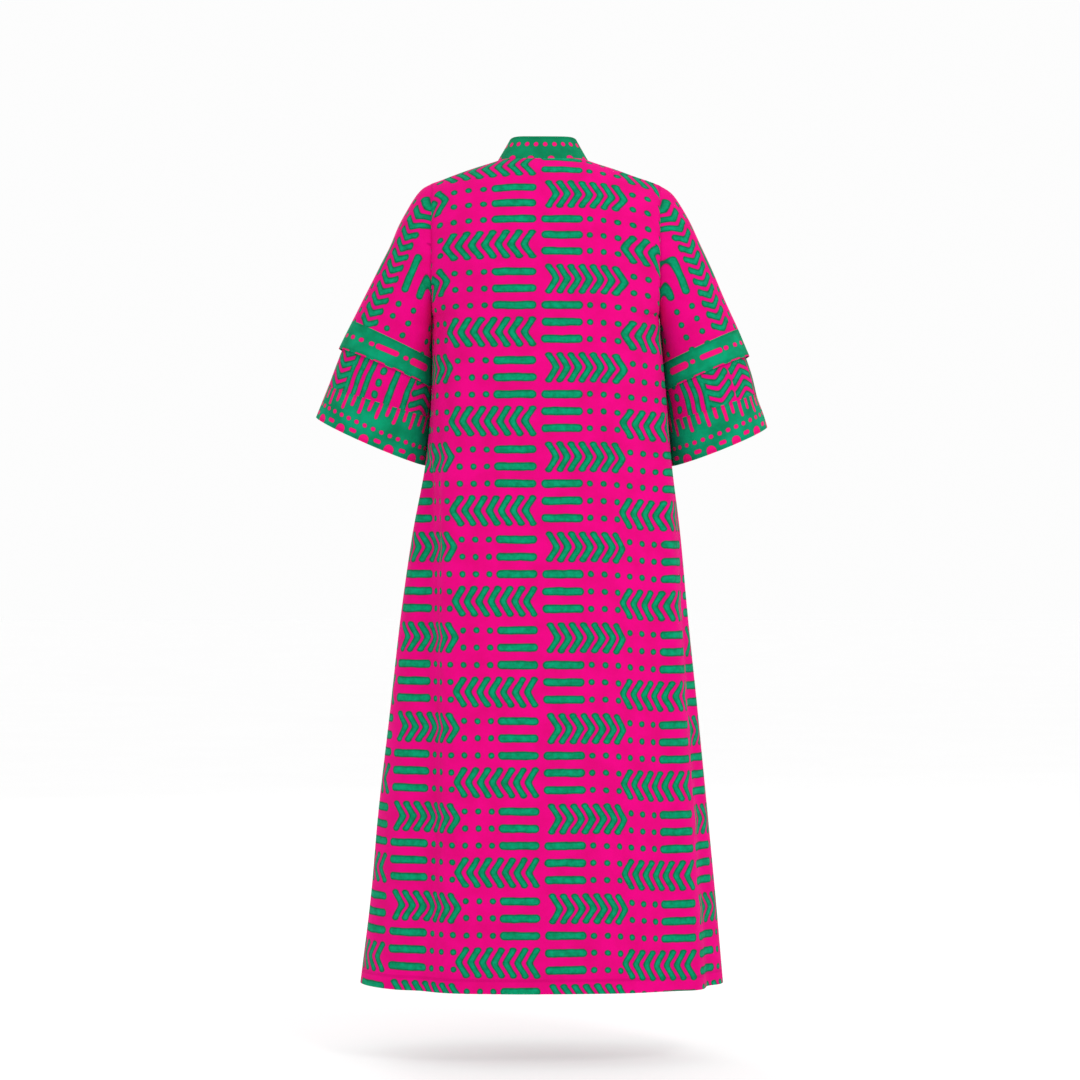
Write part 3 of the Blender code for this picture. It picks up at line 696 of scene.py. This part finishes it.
# Sleeves: an upper tier set into the armhole and a longer lower tier sewn inside it, both bell-shaped, each
# ending in a border band. The same printed cotton, cut with the motifs running down the sleeve.
# outer x and z, inner x and z of the left sleeve, the same of the right, half depth, its middle, the back's drop
UPPER_RINGS = (
    (0.188, -0.037, 0.1880, -0.263, 0.197, -0.040, 0.1970, -0.263, 0.066, 0.000, 0.000),
    (0.207, -0.048, 0.1881, -0.2665, 0.217, -0.053, 0.1979, -0.267, 0.067, -0.001, 0.000),
    (0.224, -0.070, 0.1881, -0.271, 0.233, -0.073, 0.1985, -0.272, 0.068, -0.003, 0.000),
    (0.242, -0.104, 0.1881, -0.278, 0.252, -0.106, 0.1992, -0.280, 0.068, -0.006, 0.000),
    (0.262, -0.145, 0.1881, -0.287, 0.270, -0.145, 0.2001, -0.290, 0.068, -0.010, 0.000),
    (0.283, -0.188, 0.1881, -0.299, 0.290, -0.188, 0.2013, -0.303, 0.068, -0.014, 0.000),
    (0.304, -0.228, 0.1882, -0.315, 0.311, -0.236, 0.2025, -0.321, 0.068, -0.019, 0.000),
    (0.325, -0.269, 0.1884, -0.335, 0.333, -0.283, 0.2040, -0.343, 0.069, -0.024, 0.000),
    (0.337, -0.292, 0.1886, -0.359, 0.343, -0.306, 0.2058, -0.367, 0.070, -0.027, -0.001),
    (0.349, -0.316, 0.1889, -0.384, 0.353, -0.329, 0.2072, -0.391, 0.071, -0.031, -0.003),
)
LOWER_RINGS = (
    (0.356, -0.351, 0.1893, -0.404, 0.3575, -0.362, 0.2095, -0.416, 0.071, -0.035, 0.000),
    (0.367, -0.380, 0.1912, -0.434, 0.3655, -0.393, 0.2110, -0.441, 0.072, -0.038, 0.003),
    (0.378, -0.406, 0.1942, -0.475, 0.375, -0.421, 0.2130, -0.479, 0.073, -0.042, 0.006),
    (0.389, -0.432, 0.1970, -0.515, 0.384, -0.449, 0.2150, -0.516, 0.074, -0.046, 0.009),
)
# The rings where the bands and the lower tier start, and how far inside the upper tier the lower one hangs.
UPPER_BAND_START = 7
TIER_START = 6
TIER_CLEARANCES = (0.0004, 0.0020, 0.0036, 0.0052)
TIER_GAP = 0.0003
TIER_GAP_SHARE_INSIDE = 0.04
TIER_BAND_START = 5
# The rows of the upper tier and the rings of the lower one that stay smooth, by the armhole and where hidden.
ARMHOLE_ROWS = 2
HIDDEN_RINGS = 4.5
SLEEVE_UNEVENNESS = 0.0007
AROUND = 120
ROWS_PER_RING = 8
# Each tube laid flat: its greatest length round and down, and its area.
TUBE_CUTS = {
    "sleeve_left": ((0.572, 0.275), 0.0725), "sleeve_right": ((0.567, 0.284), 0.0754),
    "sleeve_band_left": ((0.498, 0.055), 0.0240), "sleeve_band_right": ((0.473, 0.053), 0.0224),
    "tier_left": ((0.517, 0.166), 0.0655), "tier_right": ((0.481, 0.168), 0.0632),
    "tier_band_left": ((0.567, 0.083), 0.0372), "tier_band_right": ((0.521, 0.078), 0.0337),
}
# Soft creases on the upper tier: start and end as the place down the sleeve and round from its outside, half
# width and depth out.
SLEEVE_CREASES = (
    (0.030, -0.100, 0.165, -0.066, 0.010, -0.0024),
    (0.045, -0.040, 0.185, -0.026, 0.012, 0.0018),
    (0.020, 0.070, 0.150, 0.052, 0.011, -0.0020),
)


def rings_of(table, side):
    """The rings' points, from the innermost one round the back, the outside and the front."""
    first = 0 if side == 1 else 4
    rings = []
    for row in table:
        outer_x, outer_z, inner_x, inner_z = row[first:first + 4]
        half_depth, middle, back_drop = row[8:]
        turn = 2 * math.pi * np.arange(AROUND + 1) / AROUND
        centre = np.array(((outer_x + inner_x) / 2 * side, middle, (outer_z + inner_z) / 2))
        reach = np.array(((outer_x - inner_x) / 2 * side, 0, (outer_z - inner_z) / 2))
        back = np.array((0, half_depth, -back_drop))
        rings.append(centre - np.cos(turn)[:, None] * reach + np.sin(turn)[:, None] * back)
    return np.array(rings)


def between_rings(rings):
    """Many rings on smooth curves through the few."""
    count = len(rings)
    places = np.linspace(0, count - 1, (count - 1) * ROWS_PER_RING + 1)
    slopes = np.gradient(rings, axis=0)
    row = np.minimum(places.astype(int), count - 2)
    part = (places - row)[:, None, None]
    low = rings[row] * (1 + 2 * part) + slopes[row] * part
    high = rings[row + 1] * (3 - 2 * part) - slopes[row + 1] * (1 - part)
    return low * (1 - part) ** 2 + high * part ** 2


def ring_normals(rings, side):
    """The outward direction at each point of the rings."""
    around = np.roll(rings[:, :-1], -1, axis=1) - np.roll(rings[:, :-1], 1, axis=1)
    down = np.gradient(rings[:, :-1], axis=0)
    normals = np.cross(around, down) * side
    normals /= np.linalg.norm(normals, axis=2, keepdims=True)
    return np.concatenate([normals, normals[:, :1]], axis=1)


def hung_unevenly(rings, place, side, seed, first, last, creases=()):
    """The rings with the cloth's slight unevenness from the first row on, fading out before the last."""
    row = np.arange(len(rings))[:, None]
    share = ease((row - first) / ROWS_PER_RING) * (1 if last is None else ease((last - row) / ROWS_PER_RING))
    moved = (slack_depth(place, SLEEVE_UNEVENNESS, seed) + crease_depth(place, creases)) * share
    moved *= np.sin(math.pi * np.arange(AROUND + 1) / AROUND)[None] ** 2
    return rings + ring_normals(rings, side) * moved[..., None]


def sleeve_place(rings, start, end):
    """The cloth's place: how far down along the sleeve from start to end, and how far round from its outside."""
    axis = (end - start) / np.linalg.norm(end - start)
    fallen = (rings - start) @ axis
    step = np.diff(rings, axis=1)
    step -= (step @ axis)[..., None] * axis
    along = distance_along(np.linalg.norm(step, axis=2))
    along -= along[:, AROUND // 2:AROUND // 2 + 1]
    return np.stack([fallen, along], axis=-1)


def tube_piece(name, rings, place, first, last, side, node_name, slot, material, held_by):
    """One tube of the sleeve, between two of its rings, seen from outside."""
    part = rings[first:last + 1].copy()
    if first > 0:
        direction = part[1] - part[0]
        part[0] += direction / np.linalg.norm(direction, axis=1, keepdims=True) * SEAM_GAP / 2
    part_place = place[first:last + 1]
    edges = np.stack([part_place[..., 0] - part_place[:1, :, 0], part_place[-1:, :, 0] - part_place[..., 0]], axis=-1)
    if side == -1:
        part, part_place, edges = part[:, ::-1], part_place[:, ::-1], edges[:, ::-1]
    piece = cloth_sheet(name, part, part_place, edges)
    finish_cloth(piece, node_name, slot, material, *TUBE_CUTS[node_name], held_by)


# The upper tier's chart, in millimetres down the sleeve: a strip of chevrons with bars and dots on both sides.
SLEEVE_STRIP = -62.0
SLEEVE_CHEVRON = (9.6, 13.2)
SLEEVE_CHEVRONS = (20.0, 12, 20.2)
OUTER_ROWS = (-67.5, 2)
INNER_ROW = 35.0
# the bar's middle, the first dot above it, the first dot below it
OUTER_CHART = (131.0, 26.0, 187.0)
INNER_CHART = (126.0, 22.0, 181.0)

sleeve_cotton, tree, sleeve_mm, sleeve_x, sleeve_y = printed_cotton("sleeve_printed_cotton")
ring_y = within_repeat(tree, sleeve_y, SLEEVE_STRIP, REPEAT[1])
outer_row = nearest(tree, ring_y, OUTER_ROWS[0], ROW_PITCH, OUTER_ROWS[1])
inner_row = node(tree, "Math", (ring_y, INNER_ROW), operation="SUBTRACT")
sleeve_parts = [chevron_row(tree, sleeve_x, ring_y, *SLEEVE_CHEVRONS, arm=SLEEVE_CHEVRON)]
for row, (bar_middle, upper_dots, lower_dots) in ((outer_row, OUTER_CHART), (inner_row, INNER_CHART)):
    bar_x = node(tree, "Math", (sleeve_x, bar_middle), operation="SUBTRACT")
    sleeve_parts.append(capsule(tree, row, bar_x, BAR_HALF, BAR_RADIUS))
    sleeve_parts.append(capsule(tree, row, nearest(tree, sleeve_x, upper_dots, DOT_PITCH, 3), 0.0, DOT_RADIUS))
    sleeve_parts.append(capsule(tree, row, nearest(tree, sleeve_x, lower_dots, DOT_PITCH, 4), 0.0, DOT_RADIUS))
from_armhole, _ = from_edges(tree)
ink_and_weave(sleeve_cotton, sleeve_mm, closest(tree, sleeve_parts), PINK, PINK_DEEP, GREEN, GREEN_DEEP, INK_LINE,
              stitches=((from_armhole, sleeve_y),))

# The lower tier is cut from another part of the print, where long bars lie close together between the chevrons.
# On the right sleeve the tier's and the band's cloth is turned round by these distances.
TIER_TURN = {1: 0.0, -1: 0.062}
BAND_TURN = {1: 0.0, -1: -0.016}
TIER_STRIP = -122.0
TIER_PERIOD = 216.0
TIER_CHEVRONS = (262.0, 7, 20.2)
OUTER_CHEVRONS = 80.0
INNER_CHEVRONS = -83.0
LONG_BAR_MIDDLE = 330.0
# first bar, pitch and count, then half length and radius
CLOSE_BARS = ((22.5, 16.8, 3), (44.0, 4.8))
WIDE_BARS = ((-49.0, 29.0, 2), (36.0, 5.6))
TIER_DOT_ROW = 3.0
TIER_DOTS = ((280.0, 21.0, 5), (1.5, 5.4))

tier_cotton, tree, tier_mm, tier_x, tier_y = printed_cotton("tier_printed_cotton")
ring_y = within_repeat(tree, tier_y, TIER_STRIP, TIER_PERIOD)
bar_x = node(tree, "Math", (tier_x, LONG_BAR_MIDDLE), operation="SUBTRACT")
outer_strip = node(tree, "Math", (ring_y, OUTER_CHEVRONS), operation="SUBTRACT")
inner_strip = node(tree, "Math", (ring_y, INNER_CHEVRONS), operation="SUBTRACT")
dot_row = node(tree, "Math", (ring_y, TIER_DOT_ROW), operation="SUBTRACT")
tier_parts = [
    chevron_row(tree, tier_x, outer_strip, *TIER_CHEVRONS),
    chevron_row(tree, tier_x, inner_strip, *TIER_CHEVRONS, sign=-1),
    capsule(tree, nearest(tree, ring_y, *CLOSE_BARS[0]), bar_x, *CLOSE_BARS[1]),
    capsule(tree, nearest(tree, ring_y, *WIDE_BARS[0]), bar_x, *WIDE_BARS[1]),
    capsule(tree, dot_row, nearest(tree, tier_x, *TIER_DOTS[0]), *TIER_DOTS[1]),
]
ink_and_weave(tier_cotton, tier_mm, closest(tree, tier_parts), PINK, PINK_DEEP, GREEN, GREEN_DEEP, INK_LINE)

# Border bands: green, with dots and dashes of pink along them. The upper band has one row, the lower one also
# has short strokes hanging from its seam and half ovals cut by its hem.
# The upper band's chart, in millimetres above its hem and round it. The group of motifs: its middle and period.
BAND_GROUP = (-110.0, 232.0)
UPPER_ROW = 25.0
UPPER_HEM_ROW = -1.0
# first motif, pitch and count, then half length and radius
UPPER_DOTS = ((21.5, 21.5, 4), (1.4, 3.9))
HEM_DASHES = ((-76.0, 36.0, 6), (8.0, 3.6))
# middle, half length, radius
UPPER_DASHES = ((-8.0, 16.5, 4.8), (-42.5, 0.6, 3.9), (-72.0, 15.0, 6.2))
# The lower band's chart, with ovals that stand up: height above the hem, middle and pitch round the band, half
# length, radius.
LOWER_DOTS = (27.0, 0.0, 15.4, 0.4, 3.7)
LOWER_SPECKS = (11.0, 31.0, 46.0, 3.0, 3.6)
LOWER_OVALS = (3.0, 8.0, 46.0, 2.0, 8.5)
# middle and pitch round the band, length down from the seam, radius
SHORT_DRIPS = (4.0, 31.0, 16.0, 3.2)
LONG_DRIPS = (19.5, 31.0, 25.0, 3.2)
SEAM_STITCHES = 2.0


def border_ink(material, millimetres, around, from_seam, above_hem, motifs):
    """Colours a border band, with a row of stitches by its seam and one by its hem."""
    tree = material.node_tree
    seam_row = node(tree, "Math", (from_seam, SEAM_STITCHES), operation="SUBTRACT")
    fold_row = node(tree, "Math", (above_hem, EDGE_STITCHES), operation="SUBTRACT")
    ink_and_weave(material, millimetres, closest(tree, motifs), GREEN, GREEN_DEEP, BORDER_PINK, BORDER_PINK_DEEP,
                  BORDER_LINE, outline=BORDER_OUTLINE, stitches=((seam_row, around), (fold_row, around)))


upper_band_cotton, tree, band_mm, _, band_y = printed_cotton("upper_border_printed_cotton")
from_seam, above_hem = from_edges(tree)
row_y = node(tree, "Math", (above_hem, UPPER_ROW), operation="SUBTRACT")
hem_y = node(tree, "Math", (above_hem, UPPER_HEM_ROW), operation="SUBTRACT")
group = within_repeat(tree, band_y, *BAND_GROUP)
band_parts = [capsule(tree, row_y, nearest(tree, group, *UPPER_DOTS[0]), *UPPER_DOTS[1]),
              capsule(tree, hem_y, nearest(tree, group, *HEM_DASHES[0]), *HEM_DASHES[1])]
for middle, half_length, radius in UPPER_DASHES:
    dash = node(tree, "Math", (group, middle), operation="SUBTRACT")
    band_parts.append(capsule(tree, row_y, dash, half_length, radius))
border_ink(upper_band_cotton, band_mm, band_y, from_seam, above_hem, band_parts)

lower_band_cotton, tree, band_mm, _, band_y = printed_cotton("lower_border_printed_cotton")
from_seam, above_hem = from_edges(tree)
band_parts = []
for height, middle, pitch, half_length, radius in (LOWER_DOTS, LOWER_SPECKS, LOWER_OVALS):
    up = node(tree, "Math", (above_hem, height), operation="SUBTRACT")
    around = within_repeat(tree, band_y, middle, pitch)
    places = (around, up) if height == LOWER_OVALS[0] else (up, around)
    band_parts.append(capsule(tree, *places, half_length, radius))
for middle, pitch, length, radius in (SHORT_DRIPS, LONG_DRIPS):
    band_parts.append(capsule(tree, within_repeat(tree, band_y, middle, pitch), from_seam, length, radius))
border_ink(lower_band_cotton, band_mm, band_y, from_seam, above_hem, band_parts)

for side, name in ((1, "left"), (-1, "right")):
    coarse = rings_of(UPPER_RINGS, side)
    coarse[0, :, 0] += side * SEAM_GAP / 2
    upper = between_rings(coarse)
    outside = AROUND // 2
    hem_row = rings_of(LOWER_RINGS, side)[-1]
    upper_place = sleeve_place(upper, coarse[1, outside], hem_row[outside])
    upper = hung_unevenly(upper, upper_place, side, 2.0 + side, ARMHOLE_ROWS, TIER_START * ROWS_PER_RING,
                          SLEEVE_CREASES)
    last = len(upper) - 1
    band = UPPER_BAND_START * ROWS_PER_RING
    tube_piece("sleeve_cloth_" + name, upper, upper_place, 0, band, side, "sleeve_" + name, "sleeve_cotton",
               sleeve_cotton, ["back_cloth", "front_cloth"])
    turned = upper_place + np.array((0.0, BAND_TURN[side]))
    tube_piece("sleeve_border_" + name, upper, turned, band, last, side, "sleeve_band_" + name, "band_cotton",
               upper_band_cotton, ["sleeve_cloth_" + name])
    normals = ring_normals(upper, side)[::ROWS_PER_RING]
    turn = 2 * math.pi * np.arange(AROUND + 1) / AROUND
    gap_share = (1 + TIER_GAP_SHARE_INSIDE - (1 - TIER_GAP_SHARE_INSIDE) * np.cos(turn)) / 2
    inset = CLOTH + TIER_GAP + np.array(TIER_CLEARANCES)[:, None] * gap_share[None]
    hidden = coarse[TIER_START:] - normals[TIER_START:] * inset[..., None]
    lower = between_rings(np.concatenate([hidden, rings_of(LOWER_RINGS, side)]))
    lower_place = sleeve_place(lower, coarse[1, outside], hem_row[outside]) + np.array((0.0, TIER_TURN[side]))
    lower = hung_unevenly(lower, lower_place, side, 5.0 + side, HIDDEN_RINGS * ROWS_PER_RING, None)
    last = len(lower) - 1
    band = TIER_BAND_START * ROWS_PER_RING
    tube_piece("tier_cloth_" + name, lower, lower_place, 0, band, side, "tier_" + name, "sleeve_cotton", tier_cotton,
               ["sleeve_cloth_" + name])
    tube_piece("tier_border_" + name, lower, lower_place, band, last, side, "tier_band_" + name, "band_cotton",
               lower_band_cotton, ["tier_cloth_" + name])


# Floor and light of a plain white studio: a soft light high on the right of the camera, a broad weak one on its
# left, one before the kaftan's front, and an even white surround. The floor is matt and glows a little, so only
# a faint shadow shows on it.
FLOOR_HEIGHT = -1.518
FLOOR_SIZE = 60
FLOOR_GREY = "#bebebe"
FLOOR_GREY_DEEP = "#bababa"
FLOOR_GLOW = 0.45
SURROUND = 0.98
WHITE = (1.0, 1.0, 1.0, 1.0)
# name, place, width in metres, power in watts
LIGHTS = (
    ("key", (-2.1, 3.0, 2.3), 1.4, 62.0),
    ("fill", (2.6, 3.4, 0.6), 2.6, 6.0),
    ("front", (1.6, -3.8, 1.6), 2.0, 45.0),
)
LIT_POINT = (0.0, 0.0, -0.65)
# The camera stands straight behind the kaftan, where its view is this wide.
CAMERA_PLACE = (0.005, 5.5, -0.643)
VIEW_WIDTH = 1.836
SENSOR_WIDTH = 36.0

bpy.ops.object.select_all(action="DESELECT")
bpy.ops.mesh.primitive_plane_add(size=FLOOR_SIZE, location=(0, 0, FLOOR_HEIGHT))
floor = bpy.context.object
floor.name = "studio_floor"
bpy.ops.object.transform_apply(location=True, rotation=True, scale=True)
floor_paint = bpy.data.materials.new("matt_white_floor")
floor_paint.use_nodes = True
tree = floor_paint.node_tree
scuff = node(tree, "TexNoise", {"Vector": node(tree, "TexCoord", out=3), "Scale": 3.0, "Detail": 3.0})
pale = node(tree, "Mix", {"Factor": scuff, 6: linear(FLOOR_GREY), 7: linear(FLOOR_GREY_DEEP)}, out=2,
            data_type="RGBA")
shader = tree.nodes["Principled BSDF"]
tree.links.new(pale, shader.inputs["Base Color"])
for socket, value in (("Roughness", 0.9), ("Emission Color", WHITE), ("Emission Strength", FLOOR_GLOW)):
    shader.inputs[socket].default_value = value
floor.data.materials.append(floor_paint)

world = bpy.data.worlds.new("white_surround")
bpy.context.scene.world = world
world.use_nodes = True
for socket, value in (("Color", WHITE), ("Strength", SURROUND)):
    world.node_tree.nodes["Background"].inputs[socket].default_value = value

for name, place, size, power in LIGHTS:
    bpy.ops.object.light_add(type="AREA", location=place)
    light = bpy.context.object
    light.name = name + "_light"
    light.data.size = size
    light.data.energy = power
    x, y, z = np.array(LIT_POINT) - np.array(place)
    light.rotation_euler = (math.atan2(math.hypot(x, y), -z), 0, math.atan2(y, x) - math.pi / 2)

bpy.ops.object.camera_add(location=CAMERA_PLACE, rotation=(math.pi / 2, 0, math.pi))
camera = bpy.context.object
camera.data.sensor_width = SENSOR_WIDTH
camera.data.lens = SENSOR_WIDTH * CAMERA_PLACE[1] / VIEW_WIDTH
bpy.context.scene.camera = camera
bpy.context.scene.view_settings.view_transform = "Standard"
